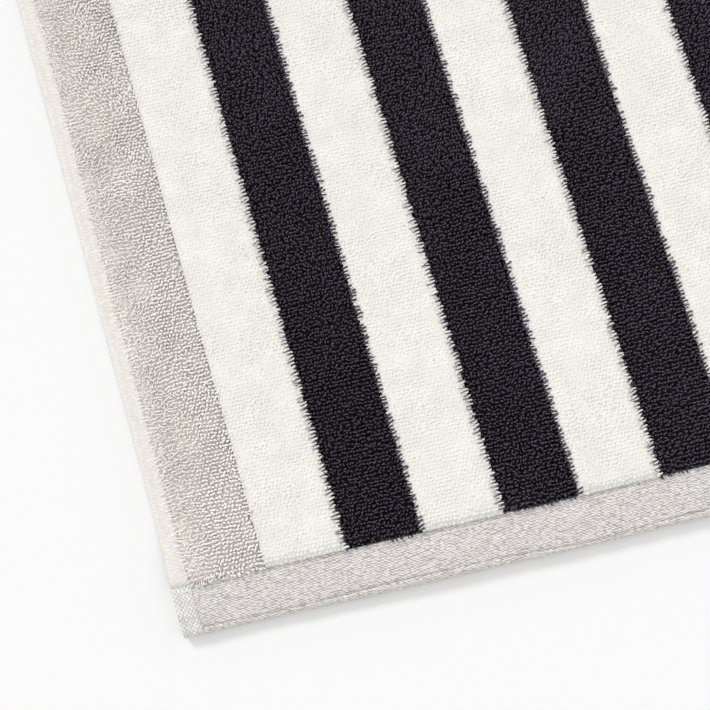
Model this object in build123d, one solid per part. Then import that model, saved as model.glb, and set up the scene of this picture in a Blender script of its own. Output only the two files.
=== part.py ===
from build123d import *

import os

# Striped terry bath towel, lying flat. Millimetres, +Z up. The origin is the centre of the
# footprint on the surface the towel lies on. +Y runs along the stripes, +X across them.

# Driving dimensions: the stripes across the towel, from the left edge to the right edge
SELVEDGE = 8.5        # flat woven edge, no loops
BORDER = 31.0         # greige pile beside each selvedge
WHITE_STRIPE = 33.3
BLACK_STRIPE = 31.67
BLACK_COUNT = 10      # black stripes; the white ones stand outside and between them

# Driving dimensions: along the towel
LENGTH = 1473.0
HEM = 20.0            # finished width of each folded end hem
TONGUE = 12.0         # cloth turned in between the hem's two faces

# Driving dimensions: through the thickness
LOOP = 3.0            # pile height on each face
CLOTH = 1.0           # ground cloth

# Pile roots: where a stripe's loops pass through the ground cloth
ROOT_ROWS = 8
ROOT_LENGTH = 1.5
ROOT_INSET = 3.0

# Hem thread
THREAD = 0.4          # thickness of the stitched thread, drawn into the cloth
THREAD_WIDTH = 0.8
SEAM_FROM_EDGE = 17.6
SEAM_END_INSET = 3.0
STITCH_PASSES = 31

WHITE_COUNT = BLACK_COUNT + 1
WIDTH = 2 * (SELVEDGE + BORDER) + WHITE_COUNT * WHITE_STRIPE + BLACK_COUNT * BLACK_STRIPE
THICKNESS = 2 * LOOP + CLOTH
PILE_LENGTH = LENGTH - 2 * HEM
EDGE_X = WIDTH / 2
EDGE_Y = LENGTH / 2


def slab(x_from, x_to, y_from, y_to, z_from, z_to):
    """A rectangular block between two corners."""
    block = Box(x_to - x_from, y_to - y_from, z_to - z_from, align=(Align.MIN, Align.MIN, Align.MIN))
    return Pos(x_from, y_from, z_from) * block


def stripe_plan():
    """Every pile stripe from left to right: its node name and where it starts and ends in X."""
    colours = ["white" if i % 2 == 0 else "black" for i in range(WHITE_COUNT + BLACK_COUNT)]
    widths = {"white": WHITE_STRIPE, "black": BLACK_STRIPE}
    seen = {"white": 0, "black": 0}
    x = -EDGE_X + SELVEDGE
    plan = [("greige_pile_left", x, x + BORDER)]
    x += BORDER
    for colour in colours:
        seen[colour] += 1
        plan.append((f"{colour}_pile_{seen[colour]:02d}", x, x + widths[colour]))
        x += widths[colour]
    plan.append(("greige_pile_right", x, x + BORDER))
    return plan


def root_rows(x_from, x_to):
    """The rows where one stripe's loops pass through the ground cloth."""
    pitch = PILE_LENGTH / ROOT_ROWS
    rows = []
    for i in range(ROOT_ROWS):
        y = -PILE_LENGTH / 2 + (i + 0.5) * pitch
        rows.append(slab(x_from + ROOT_INSET, x_to - ROOT_INSET,
                         y - ROOT_LENGTH / 2, y + ROOT_LENGTH / 2, LOOP, LOOP + CLOTH))
    return rows


def pile_stripe(x_from, x_to):
    """One colour's loops: a pad on each face of the ground cloth, joined through it."""
    half = PILE_LENGTH / 2
    lower = slab(x_from, x_to, -half, half, 0, LOOP)
    upper = slab(x_from, x_to, -half, half, LOOP + CLOTH, THICKNESS)
    return lower.fuse(upper, *root_rows(x_from, x_to))


def ground_cloth(plan):
    """The woven base under the pile, open where the pile roots pass through it."""
    half_x = EDGE_X - SELVEDGE
    half_y = PILE_LENGTH / 2
    cloth = slab(-half_x, half_x, -half_y, half_y, LOOP, LOOP + CLOTH)
    roots = [row for _, x_from, x_to in plan for row in root_rows(x_from, x_to)]
    return cloth.cut(*roots)


def hem_section():
    """The near hem from its end, outer fold at the edge: the cloth runs out at the top, folds under,
    runs back, and turns in between the two faces."""
    top = LOOP + CLOTH
    outer_r = top / 2
    turn_r = CLOTH * 1.25
    path_y = {"edge": outer_r, "turn": HEM - turn_r, "tongue": HEM - turn_r - TONGUE}
    with BuildSketch(Plane.YZ) as section:
        with BuildLine():
            Polyline((HEM, LOOP), (HEM, top), (path_y["edge"], top))
            ThreePointArc((path_y["edge"], top), (0, outer_r), (path_y["edge"], 0))
            Line((path_y["edge"], 0), (path_y["turn"], 0))
            ThreePointArc((path_y["turn"], 0), (HEM, turn_r), (path_y["turn"], 2 * turn_r))
            Polyline((path_y["turn"], 2 * turn_r), (path_y["tongue"], 2 * turn_r),
                     (path_y["tongue"], 2 * turn_r - CLOTH), (path_y["turn"], 2 * turn_r - CLOTH))
            ThreePointArc((path_y["turn"], 2 * turn_r - CLOTH), (HEM - CLOTH, turn_r),
                          (path_y["turn"], CLOTH))
            Line((path_y["turn"], CLOTH), (path_y["edge"], CLOTH))
            ThreePointArc((path_y["edge"], CLOTH), (CLOTH, outer_r), (path_y["edge"], LOOP))
            Line((path_y["edge"], LOOP), (HEM, LOOP))
        make_face()
    return section.sketch


def folded_hem(x_from, x_to):
    """A length of the near hem, at the towel's near end."""
    fold = extrude(hem_section(), amount=x_to - x_from, dir=(1, 0, 0))
    return Pos(x_from, -EDGE_Y, 0) * fold


def far_end(near_end):
    """The same piece at the towel's far end."""
    return mirror(near_end, about=Plane.XZ)


def selvedge(x_from, x_to):
    """One flat woven edge, folded in with the hem at both ends."""
    half = PILE_LENGTH / 2
    flat = slab(x_from, x_to, -half, half, LOOP, LOOP + CLOTH)
    near = folded_hem(x_from, x_to)
    return flat.fuse(near, far_end(near))


def hem_thread():
    """The near hem's thread: a run on each face, and the passes through the layers between."""
    half = EDGE_X - SEAM_END_INSET
    y_from = -EDGE_Y + SEAM_FROM_EDGE - THREAD_WIDTH / 2
    y_to = y_from + THREAD_WIDTH
    top = LOOP + CLOTH
    face_run = slab(-half, half, y_from, y_to, top - THREAD, top)
    back_run = slab(-half, half, y_from, y_to, 0, THREAD)
    pitch = 2 * (half - THREAD_WIDTH) / (STITCH_PASSES - 1)
    passes = []
    for i in range(STITCH_PASSES):
        x = -half + THREAD_WIDTH + i * pitch
        passes.append(slab(x - THREAD_WIDTH / 2, x + THREAD_WIDTH / 2, y_from, y_to, 0, top))
    return face_run.fuse(back_run, *passes)


def build_towel():
    """Every piece of the towel by node name."""
    plan = stripe_plan()
    half_x = EDGE_X - SELVEDGE
    near_thread = hem_thread()
    far_thread = far_end(near_thread)
    near_hem = folded_hem(-half_x, half_x)
    pieces = {name: pile_stripe(x_from, x_to) for name, x_from, x_to in plan}
    pieces["ground_cloth"] = ground_cloth(plan)
    pieces["selvedge_left"] = selvedge(-EDGE_X, -half_x).cut(near_thread, far_thread)
    pieces["selvedge_right"] = selvedge(half_x, EDGE_X).cut(near_thread, far_thread)
    pieces["end_hem_near"] = near_hem.cut(near_thread)
    pieces["end_hem_far"] = far_end(near_hem).cut(far_thread)
    pieces["hem_thread_near"] = near_thread
    pieces["hem_thread_far"] = far_thread
    return pieces


if __name__ == "__main__":
    os.makedirs("parts", exist_ok=True)
    for node, piece in build_towel().items():
        export_step(piece, f"parts/{node}.step")
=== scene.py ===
import math
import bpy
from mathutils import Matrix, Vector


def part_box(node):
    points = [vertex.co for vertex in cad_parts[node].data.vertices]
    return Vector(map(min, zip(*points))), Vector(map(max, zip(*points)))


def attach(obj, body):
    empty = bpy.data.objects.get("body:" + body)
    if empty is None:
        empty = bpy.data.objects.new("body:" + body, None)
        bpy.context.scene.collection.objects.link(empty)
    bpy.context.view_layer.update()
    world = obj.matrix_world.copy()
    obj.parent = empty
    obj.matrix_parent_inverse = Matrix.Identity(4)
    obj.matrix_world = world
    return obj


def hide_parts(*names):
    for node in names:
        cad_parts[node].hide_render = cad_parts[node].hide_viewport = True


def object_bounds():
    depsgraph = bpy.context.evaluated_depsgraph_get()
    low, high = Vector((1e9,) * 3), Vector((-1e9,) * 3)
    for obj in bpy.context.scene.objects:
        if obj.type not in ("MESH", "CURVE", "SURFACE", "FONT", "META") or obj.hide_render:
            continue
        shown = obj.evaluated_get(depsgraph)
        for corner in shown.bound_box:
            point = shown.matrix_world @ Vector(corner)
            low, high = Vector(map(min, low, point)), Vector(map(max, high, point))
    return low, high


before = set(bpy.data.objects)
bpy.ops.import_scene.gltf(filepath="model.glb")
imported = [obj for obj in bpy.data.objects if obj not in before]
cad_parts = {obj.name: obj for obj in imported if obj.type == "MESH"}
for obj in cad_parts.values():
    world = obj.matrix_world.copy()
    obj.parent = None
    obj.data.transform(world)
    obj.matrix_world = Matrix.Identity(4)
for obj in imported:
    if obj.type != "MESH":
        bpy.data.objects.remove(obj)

from types import SimpleNamespace

import bpy
import numpy as np

CAD_LOW, CAD_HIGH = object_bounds()

# The towel lies flat: X across the stripes, Y along them, Z up. Lengths here are millimetres unless
# they say otherwise, and only make_mesh() turns them into the frame's metres.
MM = 0.001
EDGE_X = CAD_HIGH.x / MM
EDGE_Y = CAD_HIGH.y / MM
PILE_TOP = CAD_HIGH.z / MM
PILE_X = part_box("ground_cloth")[1].x / MM
PILE_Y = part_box("ground_cloth")[1].y / MM
CLOTH_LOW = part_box("ground_cloth")[0].z / MM
CLOTH_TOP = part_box("ground_cloth")[1].z / MM
CLOTH = CLOTH_TOP - CLOTH_LOW
HEM = EDGE_Y - PILE_Y
PILE_NODES = sorted(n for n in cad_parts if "_pile_" in n)

# Terry
ROW = 1.55             # from one row of loops to the next, along the towel
YARN = 0.36            # radius of a loop's yarn
LOOP_HALF = 0.32       # half the distance between a plain loop's feet
LOOP_HEADING = 8       # how far a plain loop turns from straight across the towel, degrees
PAD_STEP = 4.0         # station spacing along the pads
PAD_ROUNDING = 3.0     # how far in from the pile's outer edge a pad rounds off
PAD_DROP = 0.7         # and how far down
TEETH_REACH_X = -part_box("greige_pile_left")[1].x / MM - 0.5   # black and white meet inside this

# Loops stand one by one over the near left corner, up to two slanting lines that cross here, and
# elsewhere as fewer, larger ones
FINE_X = -82.0
FINE_Y = -515.0
FINE_SLANT = 0.33
FINE_MINGLE = 8        # how far the two kinds mingle along the lines
FEWER = 1.8            # size and spacing of the larger loops

# Brushed border and the loops along the pile's outer edges
BRUSH_FADE = 11        # the brushing dies away over this much of the border
BRUSH_LEAN = 1.6       # how far the brushing leans loops outwards
SIDE_FALL = 5.0        # loops this close to a side edge fall over it
END_FALL = 4.0         # and this close to a hem
STRAND_LEAN = 3        # a brushed loop that leans over this many of its half lengths is a strand

# Hems
SEAM_FROM_EDGE = 17.6
SEAM_INSET = 4         # the seam starts and ends this far from the towel's sides
STITCH = 3.2           # from one stitch to the next
STITCH_RADIUS = 0.28
HEM_PUFF = 1.1         # how far the hem's turned-in layers push its face up
TONGUE = 12            # cloth turned in between the hem's faces
CREASE_FROM_EDGE = 2.2
CREASE_WIDTH = 0.4

# How the towel lies
HEM_SKEW = 0.066       # the near hem runs back towards each corner
SKEW_REACH = 235.0
SKEW_SOFTNESS = 60.0
RIDGES = (             # soft rises: centre x, centre y, heading, half length, half width, height
    (150, -330, 20, 230, 75, 4.5),
    (-190, 60, -30, 260, 80, 4.0),
    (230, 240, 12, 220, 65, 5.0),
    (-250, 470, 55, 180, 70, 4.0),
    (70, 690, 82, 120, 60, 5.0),
    (360, -60, 86, 190, 55, 4.5),
    (290, -700, 75, 120, 70, 3.5),
)

NOISE_CELLS = 97       # soft_noise repeats after this many of its features


def soft_noise(x, y, size, seed):
    """Smooth random values from -1 to 1, with features about size millimetres across."""
    table = np.random.default_rng(seed).uniform(-1, 1, (NOISE_CELLS, NOISE_CELLS))
    u, v = x / size + 40.3, y / size + 40.7
    i, j = np.floor(u).astype(int), np.floor(v).astype(int)
    s, t = u - i, v - j
    s, t = s * s * (3 - 2 * s), t * t * (3 - 2 * t)
    i, j = i % NOISE_CELLS, j % NOISE_CELLS
    i1, j1 = (i + 1) % NOISE_CELLS, (j + 1) % NOISE_CELLS
    near = table[i, j] * (1 - s) + table[i1, j] * s
    far = table[i, j1] * (1 - s) + table[i1, j1] * s
    return near * (1 - t) + far * t


def smooth_step(t):
    """0 below 0, 1 above 1, and a smooth rise between."""
    t = np.clip(t, 0, 1)
    return t * t * (3 - 2 * t)


def lift(x, y):
    """How far the cloth stands off the floor, over its soft ridges and between them."""
    height = 0.25 * (1 + soft_noise(x, y, 60, 5))
    for cx, cy, heading, long, wide, rise in RIDGES:
        a = math.radians(heading)
        u = (x - cx) * math.cos(a) + (y - cy) * math.sin(a)
        v = (y - cy) * math.cos(a) - (x - cx) * math.sin(a)
        height = height + rise * np.exp(-((u / long) ** 2) - (v / wide) ** 2)
    return height


def settle(points):
    """Where points of the flat towel lie once it has been put down: its ends are drawn in towards
    the corners, the far one less, and its stripes wander a little."""
    x, y, z = points.T
    from_side = SKEW_REACH - (EDGE_X - np.abs(x))
    drawn_in = HEM_SKEW * 0.5 * (from_side + np.sqrt(from_side ** 2 + SKEW_SOFTNESS ** 2))
    near_end = smooth_step((-y + 60) / 500)
    far_end = smooth_step((y - 200) / 450)
    new_x = x + 0.7 * soft_noise(x, y, 170, 8)
    new_y = y + drawn_in * (near_end - 0.6 * far_end)
    return np.stack([new_x, new_y, z + lift(x, y)], axis=1)


def make_mesh(name, points, quads, material, bake_uv=None, weave_uv=None, caps=0):
    """A smooth mesh object from the flat towel's points and its four-cornered faces, of which the
    last ones may be flat caps."""
    mesh = bpy.data.meshes.new(name)
    mesh.vertices.add(len(points))
    mesh.vertices.foreach_set("co", (settle(points) * MM).astype(np.float32).ravel())
    mesh.loops.add(quads.size)
    mesh.loops.foreach_set("vertex_index", quads.astype(np.int32).ravel())
    mesh.polygons.add(len(quads))
    mesh.polygons.foreach_set("loop_start", np.arange(0, quads.size, 4, dtype=np.int32))
    mesh.polygons.foreach_set("use_smooth", np.arange(len(quads)) < len(quads) - caps)
    for layer, uv in (("Weave", weave_uv), ("OFBake", bake_uv)):
        if uv is not None:
            mesh.uv_layers.new(name=layer).data.foreach_set("uv", uv.astype(np.float32).ravel())
    mesh.update(calc_edges=True)
    mesh.validate()
    piece = bpy.data.objects.new(name, mesh)
    bpy.context.scene.collection.objects.link(piece)
    piece.data.materials.append(material)
    return piece


def finish_piece(piece, slot, *nodes):
    """Puts a finished piece in the frame, in place of its CAD nodes."""
    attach(piece, "root")
    if nodes:
        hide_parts(*nodes)
    return piece


# Strips -------------------------------------------------------------------------------------

def tube_quads(stations, ring):
    """Faces joining each ring of points to the next one, all the way round."""
    a = np.arange(stations - 1)[:, None] * ring + np.arange(ring)[None, :]
    b = np.arange(stations - 1)[:, None] * ring + (np.arange(ring)[None, :] + 1) % ring
    return np.stack([a, b, b + ring, a + ring], axis=2).reshape(-1, 4)


def closed_tube(rings):
    """Points and faces of a tube with both ends capped, and how many faces the caps take. Each ring
    runs out along one side and back along the other."""
    count, ring = rings.shape[:2]
    i = np.arange(ring // 2 - 1)
    cap = np.stack([i, ring - 1 - i, ring - 2 - i, i + 1], axis=1)
    quads = np.concatenate([tube_quads(count, ring), cap, (count - 1) * ring + cap[:, ::-1]])
    return rings.reshape(-1, 3), quads, 2 * len(cap)


def corner_uvs(u0, u1, v0, v1):
    """UVs of many faces, whose first edges run along U."""
    corners = [np.stack(corner, axis=1) for corner in ((u0, v0), (u1, v0), (u1, v1), (u0, v1))]
    return np.stack(corners, axis=1)


def cap_uv(ring):
    """A small corner of the UV square for both caps of a closed tube."""
    corner = np.array([[0.97, 0.97], [0.99, 0.97], [0.99, 0.99], [0.97, 0.99]])
    return np.tile(corner, (2 * (ring // 2 - 1), 1, 1))


def folded_uv(stations, ring, columns):
    """UVs that fold a long strip into side by side columns, so that it fills the square evenly."""
    per_column = math.ceil((stations - 1) / columns)
    r = np.repeat(np.arange(stations - 1), ring)
    c = np.tile(np.arange(ring), stations - 1)
    column, row = r // per_column, r % per_column
    u0 = (column + 0.02 + 0.96 * c / ring) / columns
    u1 = (column + 0.02 + 0.96 * (c + 1) / ring) / columns
    v0 = 0.01 + 0.95 * row / per_column
    v1 = 0.01 + 0.95 * (row + 1) / per_column
    return corner_uvs(u0, u1, v0, v1)


def strip(name, material, stations, section, columns=4, flip=False):
    """A closed strip: section(station) gives the ring of points there, out along one face and back
    along the other."""
    rings = np.array([section(s) for s in stations])
    count, ring = rings.shape[:2]
    points, quads, caps = closed_tube(rings)
    bake_uv = np.concatenate([folded_uv(count, ring, columns), cap_uv(ring)])
    if flip:
        quads, bake_uv = quads[:, ::-1], bake_uv[:, ::-1]
    return make_mesh(name, points, quads, material, bake_uv, caps=caps)


# Pile ---------------------------------------------------------------------------------------

# How a colour's loops stand
PLAIN = {
    "column": 1.6,                # from one loop to the next in a row
    "reach": 1.5,                 # how far loops stand out of the pad
    "sink": 0.0,                  # how far they are sunk in it
    "long": 1.0,                  # length of a loop
    "yarn": 1.0,                  # thickness of its yarn
    "uneven": 0.17,               # how much loops differ in height
    "turn": 0.5,                  # and in heading
    "scatter": 0.15,              # how far they stray from their places
    "lean": 0.4,                  # how far they lean together in patches
    "patch": 14,                  # size of such a patch
    "brushed": 0.0,               # 1 where the outer half is brushed outwards
    "spill": 1.0,                 # how far they fall over the side edges
    "end_spill": 1.7,             # and over the hems
    "right_teeth": (1.5, 0.46),   # reach over a stripe line on the right and yarn radius there
    "left_teeth": (0.9, 0.2),     # and on the left
}
STYLES = {
    "black": dict(PLAIN, seed=101, column=1.25, reach=2.1, long=1.1, yarn=0.66, uneven=0.28, turn=0.6,
                  scatter=0.26, right_teeth=(2.0, 0.45), left_teeth=(2.6, 0.19)),
    "white": dict(PLAIN, seed=202, reach=0.4, sink=0.62, yarn=1.65, uneven=0.08, turn=0.7, scatter=0.2,
                  end_spill=0.2),
    "greige": dict(PLAIN, seed=303, column=1.45, reach=1.8, long=1.3, yarn=1.1, uneven=0.2, lean=0.9,
                   patch=11, brushed=1.0, spill=2.8),
}

# How far along and how high each point of a loop lies, from foot to foot
FINE_ARCH = ((-0.8, -1.0, -0.5, 0.5, 1.0, 0.8), (-0.35, 0.5, 0.93, 0.93, 0.5, -0.35))
PLAIN_ARCH = ((-1.0, -0.6, 0.6, 1.0), (-0.3, 0.9, 0.9, -0.3))

# The same for a tooth, from its foot inside the stripe to its tip, and how its yarn tapers
TOOTH_ALONG = np.array([-1.2, -0.5, 0.6, 1.0])
TOOTH_RISE = np.array([-0.6, 0.0, 0.0, -0.25])
TOOTH_TAPER = np.array([1.0, 1.0, 0.95, 0.35])
TEETH_KEPT = 0.9       # share of the rows that have a tooth


def stripe_box(node):
    """Where a stripe starts and ends in X."""
    low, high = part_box(node)
    return low.x / MM, high.x / MM


def pad_height(x, y, reach):
    """Height of the pad's upper face, which rounds off at the pile's outer edges."""
    edge = np.minimum(PILE_Y - np.abs(y), PILE_X - np.abs(x))
    return PILE_TOP - reach - PAD_DROP * (1 - smooth_step(edge / PAD_ROUNDING))


def pad(node, material, reach):
    """The dense body of one stripe's pile, on both faces of the ground cloth. Its loops stand in it."""
    x_from, x_to = stripe_box(node)
    across = np.linspace(x_from, x_to, 9)
    stations = np.linspace(-PILE_Y, PILE_Y, int(2 * PILE_Y / PAD_STEP) + 1)

    def section(y):
        along = y + 0 * across
        top = pad_height(across, along, reach)
        low = PILE_TOP - reach - top
        top = top + 0.12 * soft_noise(across, along, 7, 21)
        out = np.stack([across, along, low], axis=1)
        back = np.stack([across, along, top], axis=1)[::-1]
        return np.concatenate([out, back])

    return strip(node.replace("pile", "pad"), material, stations, section)


def staggered_grid(x_from, x_to, column, row):
    """Loop places in one stripe, every other row shifted by half a column."""
    columns = round((x_to - x_from) / column)
    rows = round(2 * PILE_Y / row)
    j, i = np.meshgrid(np.arange(rows), np.arange(columns), indexing="ij")
    x = x_from + (i + 0.25 + 0.5 * (j % 2)) * (x_to - x_from) / columns
    y = -PILE_Y + (j + 0.5) * 2 * PILE_Y / rows
    return x.ravel(), y.ravel()


def loop_places(x_from, x_to, column, size):
    """Where one stripe's loops of one size stand: the finely made corner's, or all the others'."""
    x, y = staggered_grid(x_from, x_to, column * size, ROW * size)
    past_right = x - FINE_X - FINE_SLANT * (y - FINE_Y)
    past_top = y - FINE_Y + FINE_SLANT * (x - FINE_X)
    in_corner = np.maximum(past_right, past_top) + FINE_MINGLE * soft_noise(x, y, 5, 51) < 0
    chosen = in_corner if size == 1.0 else ~in_corner
    return x[chosen], y[chosen]


def yarn_tubes(path, heading, radius, sides):
    """Points and faces of many yarns at once, each along its own run of points. heading is the way
    each yarn runs, seen from above, and radius has a row for each yarn."""
    tangent = np.gradient(path, axis=1)
    tangent /= np.linalg.norm(tangent, axis=2, keepdims=True)
    across = np.stack([-np.sin(heading), np.cos(heading), 0 * heading], axis=1)[:, None, :]
    normal = np.cross(tangent, across)
    normal /= np.linalg.norm(normal, axis=2, keepdims=True)
    across = np.cross(normal, tangent)
    angle = 2 * math.pi * (np.arange(sides) / sides + 0.25)
    cos, sin = np.cos(angle)[None, None, :, None], np.sin(angle)[None, None, :, None]
    ring = cos * across[:, :, None, :] + sin * normal[:, :, None, :]
    points = path[:, :, None, :] + radius[:, :, None, None] * ring
    count, rings = path.shape[:2]
    quads = tube_quads(rings, sides)[None, :, :] + (np.arange(count) * rings * sides)[:, None, None]
    return points.reshape(-1, 3), quads.reshape(-1, 4)


def standing_loops(x, y, size, style, rng):
    """Loops standing up at these places: each one's half length, height, yarn radius, heading and
    lean."""
    n = len(x)
    loops = SimpleNamespace(x=x, y=y, size=size, outward=np.sign(x))
    loops.half = LOOP_HALF * style["long"] * size * rng.uniform(0.75, 1.3, n)
    loops.high = style["reach"] * np.clip(rng.normal(1, style["uneven"], n), 0.55, 1.25)
    loops.high *= 1 + 0.08 * (size - 1)
    loops.radius = YARN * style["yarn"] * size * rng.uniform(0.88, 1.15, n)
    loops.heading = math.radians(LOOP_HEADING) + rng.normal(0, style["turn"], n)
    loops.heading += 0.35 * soft_noise(x, y, 12, 31)
    loops.lean_x = 0.2 * rng.normal(0, 1, n) + style["lean"] * soft_noise(x, y, style["patch"], 32)
    loops.lean_y = 0.2 * rng.normal(0, 1, n) + style["lean"] * soft_noise(x, y, style["patch"], 33)
    return loops


def brush(loops, style, rng):
    """Brushes loops outwards over the outer half of a border, and bows them all a little aside."""
    x, y, n = loops.x, loops.y, len(loops.x)
    from_edge = (PILE_X - np.abs(x)) / BRUSH_FADE
    brushed = style["brushed"] * smooth_step(1.7 - from_edge + 0.5 * soft_noise(x, y, 24, 34))
    loops.lean_x += BRUSH_LEAN * brushed * loops.outward * rng.uniform(0.4, 1.3, n)
    loops.lean_y += 1.5 * brushed * (soft_noise(x, y, 9, 35) - 0.35)
    loops.heading += brushed * (0.35 * rng.normal(0, 1, n) + soft_noise(x, y, 9, 36))
    loops.half *= 1 + 0.6 * brushed
    loops.radius *= 1 - 0.35 * brushed
    loops.bow = rng.normal(0, 0.12, n) + 0.3 * brushed * rng.uniform(-1, 1, n)


def spill(loops, style, rng):
    """Lets loops near the pile's outer edges fall outwards over the flat-woven edges."""
    x, y, n = loops.x, loops.y, len(loops.x)
    side_fall = 1 - smooth_step((PILE_X - np.abs(x)) / SIDE_FALL)
    end_fall = 1 - smooth_step((PILE_Y - np.abs(y)) / END_FALL)
    clump = (0.65 + 0.55 * soft_noise(x, y, 6, 37)) * rng.uniform(0.4, 1.3, n)
    loops.lean_x += loops.outward * style["spill"] * side_fall * np.minimum(clump, 1.1)
    loops.lean_y += style["spill"] * side_fall * 0.6 * soft_noise(x, y, 5, 38)
    loops.lean_y += np.sign(y) * style["end_spill"] * end_fall * rng.uniform(0.1, 1.2, n)
    loops.heading += 0.6 * end_fall * rng.normal(0, 1, n)
    loops.high *= 1 - 0.3 * side_fall
    loops.high *= 1 - 0.15 * end_fall


def loop_paths(loops, arch, style):
    """Each loop's run of points, heading and radius. Brushed loops that fall too far to stay loops
    lie as single, tapering strands."""
    strand = style["brushed"] * loops.outward * loops.lean_x > STRAND_LEAN * loops.half
    heading = np.where(strand, np.arctan2(loops.lean_y, loops.lean_x), loops.heading)
    strand = strand[:, None]
    along, up = np.array(arch)[:, None, :]
    run = np.linspace(0, 1, up.shape[1])[None, :]
    aside = (1 - along ** 2) * loops.bow[:, None]
    along = np.where(strand, 0.0, along * loops.half[:, None])
    bend = np.where(strand, 1.05 * run, np.clip(up, 0, 1) ** 1.4)
    up = np.where(strand, 3.8 * run - 3.0 * run ** 2 - 0.35, up)
    taper = np.where(strand, 1.25 - 0.75 * run ** 3, 1.0)
    base = pad_height(loops.x, loops.y, style["reach"]) - style["sink"]
    base -= loops.radius * (1 - 1 / loops.size)
    cos, sin = np.cos(heading)[:, None], np.sin(heading)[:, None]
    px = loops.x[:, None] + along * cos - aside * sin + loops.lean_x[:, None] * bend
    py = loops.y[:, None] + along * sin + aside * cos + loops.lean_y[:, None] * bend
    pz = base[:, None] + up * loops.high[:, None]
    return np.stack([px, py, pz], axis=2), heading, loops.radius[:, None] * taper


def comb_teeth(line, side, reach, thickness, rng):
    """The loops along the line where two stripes meet, one a row, which lie across it like the teeth
    of a comb. side is 1 along the stripe's right edge and -1 along its left one, where they stand
    half a row on, between the other colour's."""
    y = np.arange(-PILE_Y + (1.0 - 0.25 * side) * ROW, PILE_Y - ROW, ROW)
    y = y[rng.uniform(0, 1, len(y)) < TEETH_KEPT]
    n = len(y)
    wander = 0.3 * soft_noise(line + 0 * y, y, 5, 61)
    y = y + rng.normal(0, 0.16, n)
    radius = thickness * rng.uniform(0.7, 1.25, n)[:, None] * TOOTH_TAPER
    heading = rng.normal(math.radians(10), 0.2, n)
    stretch = rng.uniform(0.3, 1.1, n)[:, None]
    out = np.where(TOOTH_ALONG < 0, TOOTH_ALONG, TOOTH_ALONG * reach * stretch)
    px = line + wander[:, None] + side * out * np.cos(heading)[:, None]
    py = y[:, None] + side * out * np.sin(heading)[:, None]
    pz = PILE_TOP + 0.3 - radius[:, :1] + TOOTH_RISE + rng.normal(0, 0.06, n)[:, None]
    return np.stack([px, py, pz], axis=2), heading, radius


def stripe_loops(node, style, rng):
    """One stripe's loops, as the points and faces of each kind."""
    x_from, x_to = stripe_box(node)
    for size, arch, sides in ((1.0, FINE_ARCH, 5), (FEWER, PLAIN_ARCH, 3)):
        x, y = loop_places(x_from, x_to, style["column"], size)
        x = x + rng.normal(0, style["scatter"], len(x)) * size
        y = y + rng.normal(0, style["scatter"] * 0.8, len(y)) * size
        loops = standing_loops(x, y, size, style, rng)
        brush(loops, style, rng)
        spill(loops, style, rng)
        yield yarn_tubes(*loop_paths(loops, arch, style), sides)
    edges = ((x_to, 1, style["right_teeth"], 4), (x_from, -1, style["left_teeth"], 3))
    for line, side, tooth, sides in edges:
        if abs(line) < TEETH_REACH_X:
            yield yarn_tubes(*comb_teeth(line, side, *tooth, rng), sides)


def loops_of(colour, material):
    """Every loop of one colour on the upper face, as one piece."""
    style = STYLES[colour]
    rng = np.random.default_rng(style["seed"])
    points, quads, count = [], [], 0
    for node in PILE_NODES:
        if node.startswith(colour):
            for p, q in stripe_loops(node, style, rng):
                points.append(p)
                quads.append(q + count)
                count += len(p)
    points, quads = np.concatenate(points), np.concatenate(quads)
    flat = points[quads.ravel(), :2]
    bake_uv = 0.02 + 0.96 * (flat + [EDGE_X, EDGE_Y]) / [2 * EDGE_X, 2 * EDGE_Y]
    return make_mesh(f"{colour}_loops", points, quads, material, bake_uv)


# Flat-woven edges ---------------------------------------------------------------------------

def hem_puff(from_edge):
    """How far the turned-in layers push the hem's face up."""
    return HEM_PUFF * np.sin(math.pi * (0.25 + 0.75 * (HEM - from_edge) / HEM))


def fold_line():
    """The hem's fold, seen from its end: distance from the outer edge and height of the cloth's
    middle, from the pile out over the edge, back underneath and in between."""
    mid_top, mid_low = CLOTH_TOP - CLOTH / 2, CLOTH / 2
    outer_r, outer_z = (mid_top - mid_low) / 2, (mid_top + mid_low) / 2
    turn_r = 0.75 * CLOTH
    turn_y = HEM - CLOTH / 2 - turn_r
    line = [(y, mid_top + hem_puff(y)) for y in np.linspace(HEM, outer_r + 0.2, 54)]
    line += [(outer_r * (1 - math.sin(a)), outer_z + outer_r * math.cos(a))
             for a in np.linspace(0.25, math.pi, 10)]
    line += [(y, mid_low) for y in np.linspace(outer_r + 2, turn_y, 6)]
    line += [(turn_y + turn_r * math.sin(a), mid_low + turn_r * (1 - math.cos(a)))
             for a in np.linspace(0.4, math.pi, 6)]
    line += [(y, mid_low + 2 * turn_r) for y in np.linspace(turn_y - 2, turn_y - TONGUE, 4)]
    return np.array(line)


FOLD = fold_line()


def fold_ring():
    """The fold as a closed outline with the cloth's thickness: out along one face, back along the
    other."""
    step = np.gradient(FOLD, axis=0)
    step /= np.linalg.norm(step, axis=1, keepdims=True)
    normal = np.stack([-step[:, 1], step[:, 0]], axis=1)
    outer = FOLD - normal * CLOTH / 2
    inner = FOLD + normal * CLOTH / 2
    return np.concatenate([outer, inner[::-1]])


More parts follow.
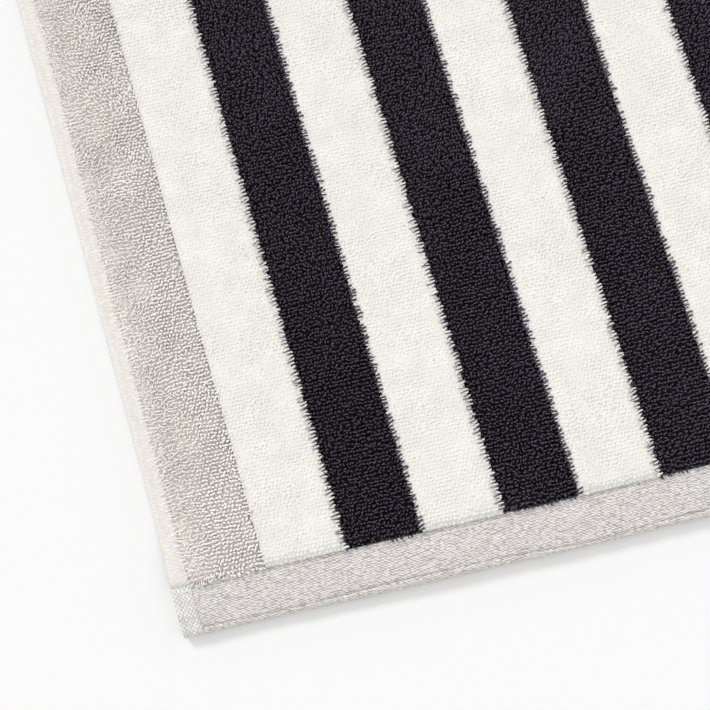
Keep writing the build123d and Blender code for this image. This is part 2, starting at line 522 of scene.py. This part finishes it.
def weave_uvs(stations, ring, caps):
    """UVs in millimetres for a woven strip: U along it, V round its section."""
    round_ring = np.concatenate([[0], np.cumsum(np.linalg.norm(np.diff(ring, axis=0), axis=1))])
    round_ring = np.append(round_ring, round_ring[-1] + 1)
    s = np.repeat(np.arange(len(stations) - 1), len(ring))
    c = np.tile(np.arange(len(ring)), len(stations) - 1)
    sides = corner_uvs(round_ring[c], round_ring[c + 1], stations[s], stations[s + 1])[:, :, ::-1]
    return np.concatenate([sides, np.zeros((caps, 4, 2))])


def folded_band(name, material, x_from, x_to, end, step=1.5, crease_depth=0.7):
    """A length of folded hem. end is -1 at the near end of the towel and 1 at the far end."""
    ring = fold_ring()
    stations = np.linspace(x_from, x_to, max(3, int((x_to - x_from) / step)))
    x, out = np.broadcast_arrays(stations[:, None], ring[None, :, 0])
    out = out + 0.3 * soft_noise(x, 0 * x, 16, 41)
    from_crease = out - CREASE_FROM_EDGE - 1.1 * soft_noise(x, 0 * x, 40, 44)
    crease = np.exp(-(from_crease / CREASE_WIDTH) ** 2) * crease_depth
    crease = crease * (1 + 0.8 * soft_noise(x, 0 * x, 23, 45))
    pucker = 0.2 * soft_noise(x, out, 7, 42) + 0.1 * soft_noise(x, out, 2.5, 43)
    on_face = smooth_step(ring[None, :, 1] - CLOTH_LOW + 0.5)
    z = ring[None, :, 1] + on_face * (pucker - crease)
    rings = np.stack([x, end * (EDGE_Y - out), z], axis=2)
    count, size = rings.shape[:2]
    points, quads, caps = closed_tube(rings)
    weave = weave_uvs(stations, ring, caps)
    bake = np.concatenate([folded_uv(count, size, 3), cap_uv(size)])
    if end > 0:
        quads, weave, bake = quads[:, ::-1], weave[:, ::-1], bake[:, ::-1]
    return make_mesh(name, points, quads, material, bake, weave, caps)


def side_band(name, material, side):
    """The flat-woven side edge between the hems, from the pile down to the floor. It thins towards
    its outer edge, and rises at both ends to meet the hem."""
    stations = np.linspace(-PILE_Y - 0.5, PILE_Y + 0.5, 480)
    out = np.linspace(0, 1, 7)
    thick = CLOTH * np.array([1, 1, 1, 1, 1, 0.95, 0.45])
    x = side * (PILE_X + out * (EDGE_X - PILE_X))

    def section(y):
        to_hem = PILE_Y - abs(y)
        droop = smooth_step(to_hem / 30) * (CLOTH_LOW - 0.1)
        rise = hem_puff(HEM) * smooth_step(1 - to_hem / 6)
        low = CLOTH_LOW + rise - droop * out ** 1.3
        under = np.stack([x, y + 0 * x, low + (CLOTH - thick) / 2], axis=1)
        over = np.stack([x, y + 0 * x, low + (CLOTH + thick) / 2], axis=1)
        return np.concatenate([under, over[::-1]])

    return strip(name, material, stations, section, columns=16, flip=side < 0)


def join(first, *others):
    """One piece of several meshes."""
    with bpy.context.temp_override(active_object=first, selected_editable_objects=[first, *others]):
        bpy.ops.object.join()
    return first


def selvedge(node, material, return_material, side):
    """One selvedge: the flat side band, and its folded returns at both hems."""
    band = side_band(node + "_band", material, side)
    x_from, x_to = sorted((side * PILE_X, side * EDGE_X))
    returns = [folded_band(f"{node}_return_{end}", return_material, x_from, x_to, end, step=1.0,
                           crease_depth=0.0) for end in (-1, 1)]
    return join(band, *returns)


def hem_thread(name, material, end):
    """The stitches of one hem: short slanting stitches on the face, one after another."""
    half = EDGE_X - SEAM_INSET
    count = int(2 * half / STITCH)
    stations, sides = 5, 6
    start = np.linspace(-half, half - STITCH, count)
    t = np.linspace(0, 1, stations)
    x = start[:, None] + t[None, :] * STITCH * 0.96
    y = end * (EDGE_Y - SEAM_FROM_EDGE) + 0.15 * (t - 0.5)[None, :] + 0 * x
    z = CLOTH_TOP + hem_puff(SEAM_FROM_EDGE) - 0.2 + 0.35 * np.sin(math.pi * t)[None, :] + 0 * x
    path = np.stack([x, y, z], axis=2)
    angle = 2 * math.pi * np.arange(sides) / sides
    ring = np.stack([0 * angle, STITCH_RADIUS * np.cos(angle), STITCH_RADIUS * np.sin(angle)], axis=1)
    points = path[:, :, None, :] + ring[None, None, :, :]
    quads = tube_quads(stations, sides)[None] + (np.arange(count) * stations * sides)[:, None, None]
    return make_mesh(name, points.reshape(-1, 3), quads.reshape(-1, 4), material)


# Materials ----------------------------------------------------------------------------------

class Nodes:
    """A material's node tree, with short calls for what the cloth materials share."""

    def __init__(self, name, roughness=0.9, shine=0.2, sheen=0.0, sheen_tint=(1, 1, 1)):
        self.material = bpy.data.materials.new(name)
        self.material.use_nodes = True
        self.tree = self.material.node_tree
        self.shader = self.tree.nodes["Principled BSDF"]
        self.shader.inputs["Roughness"].default_value = roughness
        self.shader.inputs["Specular IOR Level"].default_value = shine
        self.shader.inputs["Sheen Weight"].default_value = sheen
        self.shader.inputs["Sheen Roughness"].default_value = 0.5
        self.shader.inputs["Sheen Tint"].default_value = (*sheen_tint, 1)

    def add(self, kind, inputs=(), **settings):
        """A node with these inputs, each a value or another node's output."""
        node = self.tree.nodes.new(kind)
        for key, value in settings.items():
            setattr(node, key, value)
        for key, value in dict(inputs).items():
            if isinstance(value, bpy.types.NodeSocket):
                self.tree.links.new(value, node.inputs[key])
            else:
                node.inputs[key].default_value = value
        return node

    def mapped(self, vector, scale, rotation=0.0):
        return self.add("ShaderNodeMapping", {"Vector": vector, "Scale": scale,
                                              "Rotation": (0, 0, rotation)}).outputs["Vector"]

    def coordinate(self, scale=(1, 1, 1), rotation=0.0, uv=None):
        """Object coordinates, or a UV layer's, in millimetres times scale."""
        if uv:
            source, unit = self.add("ShaderNodeUVMap", uv_map=uv).outputs["UV"], 1.0
        else:
            source, unit = self.add("ShaderNodeTexCoord").outputs["Object"], 1 / MM
        return self.mapped(source, [s * unit for s in scale], rotation)

    def noise(self, vector, size, detail=2.0, distortion=0.0):
        return self.add("ShaderNodeTexNoise", {"Vector": vector, "Scale": 1 / size, "Detail": detail,
                                               "Distortion": distortion}).outputs["Fac"]

    def cells(self, vector, randomness):
        """Distance from the nearest of one point in each unit cell."""
        return self.add("ShaderNodeTexVoronoi", {"Vector": vector, "Scale": 1.0,
                                                 "Randomness": randomness}).outputs["Distance"]

    def spread(self, value, at_zero, at_one):
        """The value stretched so that at_zero becomes 0 and at_one becomes 1."""
        return self.add("ShaderNodeMapRange", {"Value": value, "From Min": at_zero,
                                               "From Max": at_one}).outputs["Result"]

    def ramp(self, value, *stops):
        """Colours by value: each stop is a place from 0 to 1 and its colour."""
        node = self.add("ShaderNodeValToRGB", {"Fac": value})
        for element, (place, colour) in zip(node.color_ramp.elements, stops):
            element.position = place
            element.color = (*colour, 1)
        return node.outputs["Color"]

    def multiply(self, a, b):
        """One colour times another."""
        node = self.add("ShaderNodeMix", {0: 1.0}, data_type="RGBA", blend_type="MULTIPLY")
        self.tree.links.new(a, node.inputs[6])
        self.tree.links.new(b, node.inputs[7])
        return node.outputs[2]

    def math(self, operation, a, b):
        return self.add("ShaderNodeMath", {0: a, 1: b}, operation=operation).outputs[0]

    def colour(self, socket):
        self.tree.links.new(socket, self.shader.inputs["Base Color"])

    def bump(self, height, distance, strength=1.0):
        node = self.add("ShaderNodeBump", {"Height": height, "Distance": distance * MM,
                                           "Strength": strength})
        self.tree.links.new(node.outputs["Normal"], self.shader.inputs["Normal"])

    def glow(self, weight):
        """Light passing through the yarns."""
        self.shader.inputs["Subsurface Weight"].default_value = weight
        self.shader.inputs["Subsurface Radius"].default_value = (1.0, 0.95, 0.9)
        self.shader.inputs["Subsurface Scale"].default_value = 2.0 * MM

    def rough(self, value, low, high):
        node = self.add("ShaderNodeMapRange", {"Value": value, "To Min": low, "To Max": high})
        self.tree.links.new(node.outputs["Result"], self.shader.inputs["Roughness"])


def scaled(colour, k):
    """A lighter or darker colour."""
    return tuple(min(1.0, c * k) for c in colour)


PLAIN_WHITE = (1, 1, 1)
BLACK = (0.083, 0.073, 0.098)
WHITE = (0.797, 0.775, 0.735)
GREIGE = (0.90, 0.86, 0.82)
# Painted shade: the greige pile's colour deep in the gaps between its loops
GREIGE_PAINTED_SHADE = (0.83, 0.785, 0.745)
HEM_GREIGE = (0.82, 0.785, 0.758)
OFF_WHITE = (0.76, 0.735, 0.69)
RETURN_WHITE = (0.88, 0.86, 0.845)
GROUND = (0.45, 0.43, 0.41)
THREAD = (0.74, 0.71, 0.68)
FLOOR = (0.79, 0.79, 0.79)

# How a colour's cotton looks
COTTON = {
    "spread": 0.08,                    # how much patches of the pile differ in shade
    "yarn_tone_and_glint": 0.05,                  # how much yarns differ in shade
    "yarn": 1.3,                       # size of those differences
    "sheen": 0.3,
    "sheen_tint": (1.0, 0.97, 0.95),
    "rough": (0.86, 0.97),             # roughness from patch to patch
    "shine": 0.2,
    "fuzz": 0.5,                       # strength of the fine bump on the yarn
    "glow": 0.0,                       # light passing through the yarns
    "pad_relief": 0.9,                 # depth of the pad's loop pattern
}
# Each pad's two colours are painted shade deep between the loops; the black's pad is painted darker than
# its loops
COTTONS = {
    # The black's strong, fine yarn speckle is painted highlights on its fibres
    "black": dict(COTTON, colour=BLACK, pad_top=scaled(BLACK, 0.4), pad_painted_shade=scaled(BLACK, 0.06),
                  spread=0.15, yarn_tone_and_glint=0.75, yarn=0.5, sheen=0.25, sheen_tint=(0.5, 0.47, 0.55),
                  rough=(0.5, 0.7), shine=0.5),
    "white": dict(COTTON, colour=WHITE, pad_top=WHITE, pad_painted_shade=scaled(WHITE, 0.99), spread=0.01,
                  sheen=0.5, sheen_tint=(1.0, 0.99, 0.97), fuzz=0.15, pad_relief=0.3),
    "greige": dict(COTTON, colour=GREIGE, pad_top=GREIGE, pad_painted_shade=GREIGE_PAINTED_SHADE, glow=0.1),
}


def pile_material(name, cotton):
    """Looped cotton: patches where the pile lies differently, partly painted light and shade, and yarns
    of slightly different shade, with painted highlights in the black's strong speckle.
    """
    m = Nodes(name, shine=cotton["shine"], sheen=cotton["sheen"], sheen_tint=cotton["sheen_tint"])
    place = m.coordinate()
    patch = m.noise(place, 14, 3)
    shades = m.noise(place, cotton["yarn"], 1)
    dark, light = 1 - cotton["spread"], 1 + cotton["spread"] * 0.5
    # Patches: partly the cotton's own uneven tone, partly painted light and shade of pile lying
    # differently
    patches = m.ramp(patch, (0.3, scaled(cotton["colour"], dark)), (0.7, scaled(cotton["colour"], light)))
    # Yarn shades: the cotton's own, and on the black also painted highlights on its fibres
    yarns = m.ramp(shades, (0.3, (1 - cotton["yarn_tone_and_glint"],) * 3), (0.7, PLAIN_WHITE))
    m.colour(m.multiply(patches, yarns))
    m.rough(patch, *cotton["rough"])
    m.glow(cotton["glow"])
    m.bump(m.noise(place, 0.5, 2), 0.25, cotton["fuzz"])
    return m.material


def pad_material(name, cotton):
    """The same cotton seen deep between the loops, painted in shade, and its loop rows where no loops
    are modelled, with painted shade in the gaps between them.
    """
    m = Nodes(name, shine=0.0)
    wobble = m.noise(m.coordinate(), 9, 2)
    cells = m.cells(m.coordinate((0.62, 0.65, 0.3)), 0.55)
    # Painted shade: light at the cell centres, darkening into the gaps between them
    shade = m.ramp(cells, (0.1, cotton["pad_top"]), (0.75, cotton["pad_painted_shade"]))
    patch = m.ramp(wobble, (0.3, (0.9,) * 3), (0.7, PLAIN_WHITE))
    m.colour(m.multiply(shade, patch))
    m.rough(wobble, 0.9, 1.0)
    m.glow(cotton["glow"])
    m.bump(m.math("SUBTRACT", 1.0, cells), cotton["pad_relief"], 0.8)
    return m.material


def woven_material(name, colour, depth, relief, cell, scatter=0.3, grain=0.25, uv="Weave",
                   wave=1.6, twill=0):
    """A flat weave: yarn floats laid like bricks of the cell's length and row height, in rows that
    slant by twill degrees and wander by wave millimetres, with painted shade in the gaps between
    them, depth times the colour. grain is how far the cotton's own streaks show."""
    m = Nodes(name, sheen=0.2)
    place = m.coordinate(uv=uv)
    wander = m.add("ShaderNodeTexNoise", {"Vector": place, "Scale": 0.2, "Detail": 3.0}).outputs["Color"]
    bent = m.add("ShaderNodeVectorMath", {0: wander, 1: (wave,) * 3, 2: place},
                 operation="MULTIPLY_ADD").outputs[0]
    bent = m.mapped(bent, (1, 1, 1), math.radians(twill))
    bricks = m.mapped(bent, (math.sqrt(2) / cell[0], math.sqrt(0.5) / cell[1], 0.5), math.radians(45))
    floats = m.spread(m.cells(bricks, scatter), 0.7, 0.1)
    streaks = m.noise(m.mapped(bent, (1.2 / cell[0], 1.6 / cell[1], 0.5)), 1.0, 1, 0.4)
    streaks = m.spread(streaks, 0.3, 0.7)
    height = m.math("ADD", m.math("MULTIPLY", floats, 1 - grain), m.math("MULTIPLY", streaks, grain))
    # Painted shade: the gaps between floats darkened to depth times the colour
    base = m.ramp(height, (0.1, scaled(colour, depth)), (0.75, colour))
    tone = m.ramp(m.noise(place, 14, 2), (0.35, PLAIN_WHITE), (0.65, (0.99, 0.97, 0.965)))
    m.colour(m.multiply(base, tone))
    m.rough(height, 0.92, 0.8)
    m.bump(height, relief)
    return m.material


def thread_material():
    """Twisted cotton thread."""
    m = Nodes("sewing thread", roughness=0.8, sheen=0.1)
    place = m.coordinate((1, 3, 1), rotation=0.6)
    m.colour(m.ramp(m.noise(place, 0.5, 2), (0.3, scaled(THREAD, 0.8)), (0.7, THREAD)))
    m.bump(m.noise(place, 0.4, 1), 0.1, 0.6)
    return m.material


# Building -----------------------------------------------------------------------------------

def build_pile():
    """Pads and loops of every colour."""
    pieces = []
    for colour, cotton in COTTONS.items():
        pad_finish = pad_material(f"{colour} pile depth", cotton)
        for node in PILE_NODES:
            if node.startswith(colour):
                piece = pad(node, pad_finish, STYLES[colour]["reach"])
                pieces.append(finish_piece(piece, f"pile_{colour}", node))
        loops = loops_of(colour, pile_material(f"{colour} loops", cotton))
        pieces.append(finish_piece(loops, f"pile_{colour}"))
    return pieces


def ground_sheet():
    """The ground cloth: the one woven sheet that everything else is part of."""
    material = woven_material("ground weave", GROUND, 0.7, 0.15, (1.2, 1.2), uv=None)
    across = np.linspace(-PILE_X, PILE_X, 60)

    def section(y):
        low = np.stack([across, y + 0 * across, CLOTH_LOW + 0 * across], axis=1)
        high = np.stack([across, y + 0 * across, CLOTH_TOP + 0 * across], axis=1)
        return np.concatenate([low, high[::-1]])

    stations = np.linspace(-PILE_Y, PILE_Y, 120)
    sheet = strip("ground_sheet", material, stations, section, columns=1)
    return finish_piece(sheet, "ground", "ground_cloth")


def build_selvedges():
    """Both selvedges, each with its returns."""
    edge_finish = woven_material("selvedge weave", OFF_WHITE, 0.82, 0.12, (3.0, 0.8), grain=0.4, uv=None)
    return_finish = woven_material("selvedge return weave", RETURN_WHITE, 0.55, 0.3, (1.7, 1.0),
                                   scatter=0.2, grain=0.15)
    pieces = []
    for word, side in (("left", -1), ("right", 1)):
        piece = selvedge(f"{word}_selvedge", edge_finish, return_finish, side)
        pieces.append(finish_piece(piece, "selvedge", f"selvedge_{word}"))
    return pieces


def build_hems():
    """Both hems, folded under twice and stitched."""
    hem_finish = woven_material("hem weave", HEM_GREIGE, 0.36, 0.25, (2.6, 0.54), scatter=0.35,
                                grain=0.3, wave=1.2, twill=-14)
    thread = thread_material()
    for word, end in (("near", -1), ("far", 1)):
        hem = folded_band(f"{word}_hem", hem_finish, -PILE_X, PILE_X, end)
        finish_piece(hem, "hem", f"end_hem_{word}")
        stitches = hem_thread(f"{word}_hem_stitches", thread, end)
        finish_piece(stitches, "thread", f"hem_thread_{word}")


def build_towel():
    """Every piece of the towel."""
    pile = build_pile()
    ground = ground_sheet()
    selvedges = build_selvedges()
    build_hems()


def build_floor():
    """A plain pale floor, 12 m square."""
    bpy.ops.mesh.primitive_plane_add(size=12, location=(0, 0, 0))
    floor = bpy.context.object
    floor.name = "floor"
    m = Nodes("pale floor", shine=0.0)
    m.shader.inputs["Base Color"].default_value = (*FLOOR, 1)
    floor.data.materials.append(m.material)


def build_light():
    """Soft studio light: a bright even surround, and a broad low lamp beyond the towel's far end."""
    world = bpy.data.worlds.new("studio")
    bpy.context.scene.world = world
    world.use_nodes = True
    background = world.node_tree.nodes["Background"]
    background.inputs["Color"].default_value = (1, 1, 1, 1)
    background.inputs["Strength"].default_value = 0.97
    lamp = bpy.data.lights.new("key", "SUN")
    lamp.energy = 1.53
    lamp.angle = math.radians(14)
    key = bpy.data.objects.new("key", lamp)
    bpy.context.scene.collection.objects.link(key)
    key.rotation_euler = (math.radians(-60), 0, math.radians(23))
    bpy.context.scene.view_settings.view_transform = "Standard"


def build_camera():
    """Nearly overhead of the near left corner, with the stripes leaning to the upper left. Metres."""
    camera = bpy.data.objects.new("camera", bpy.data.cameras.new("camera"))
    bpy.context.scene.collection.objects.link(camera)
    camera.data.lens = 50
    camera.data.sensor_width = 36
    camera.data.clip_start = 0.01
    camera.location = (CAD_LOW.x + 0.0954, CAD_LOW.y + 0.0587, 0.4097)
    camera.rotation_euler = (math.radians(6.5), math.radians(1.5), math.radians(-16.42))
    bpy.context.scene.camera = camera


build_camera()
build_light()
build_floor()
build_towel()
